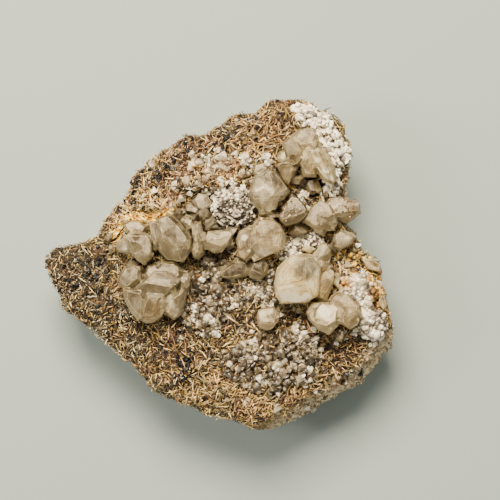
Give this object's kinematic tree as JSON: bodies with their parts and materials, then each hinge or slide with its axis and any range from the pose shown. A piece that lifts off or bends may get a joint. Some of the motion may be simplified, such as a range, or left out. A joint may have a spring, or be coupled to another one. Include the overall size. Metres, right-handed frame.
{
  "type": "cerussite on barite mineral specimen",
  "caption": "Broken plate of brown bladed barite with blocky pale beige cerussite crystals, white crusts and small pale crystals on its face, lying on its back.",
  "frame": {"origin": "on the resting plane, below the middle of the specimen's bounding box", "axes": "+X across the specimen's width, +Y up the face as the picture shows it, +Z out of the face that carries the crystals"},
  "size_m": [0.1, 0.0948, 0.038],
  "materials": {
    "barite": "rough felt of brown and tan barite blades on grey broken rock, matt",
    "cerussite": "milky translucent beige crystal faces, resinous gloss",
    "white_crust": "white to grey knobbly crust, matt",
    "small_crystals": "small whitish to grey crystals with some gloss"
  },
  "bodies": {
    "root": {"barite_plate": "barite", "cerussite_cluster": "cerussite", "cerussite_domed": "cerussite", "cerussite_etched": "cerussite", "cerussite_fan": "cerussite", "cerussite_far_left": "cerussite", "cerussite_flat_pair": "cerussite", "cerussite_glinting_pair": "cerussite", "cerussite_grey_left": "cerussite", "cerussite_grey_right": "cerussite", "cerussite_hexagonal": "cerussite", "cerussite_in_hollow": "cerussite", "cerussite_large": "cerussite", "cerussite_left": "cerussite", "cerussite_lower_edge": "cerussite", "cerussite_overhanging": "cerussite", "cerussite_right_edge": "cerussite", "cerussite_round": "cerussite", "cerussite_row": "cerussite", "druse_inner": "small_crystals", "druse_lower": "small_crystals", "druse_middle": "small_crystals", "druse_upper": "small_crystals", "white_crust_middle": "white_crust", "white_crust_right": "white_crust", "white_crust_top": "white_crust", "white_mound": "white_crust"}
  },
  "joints": []
}
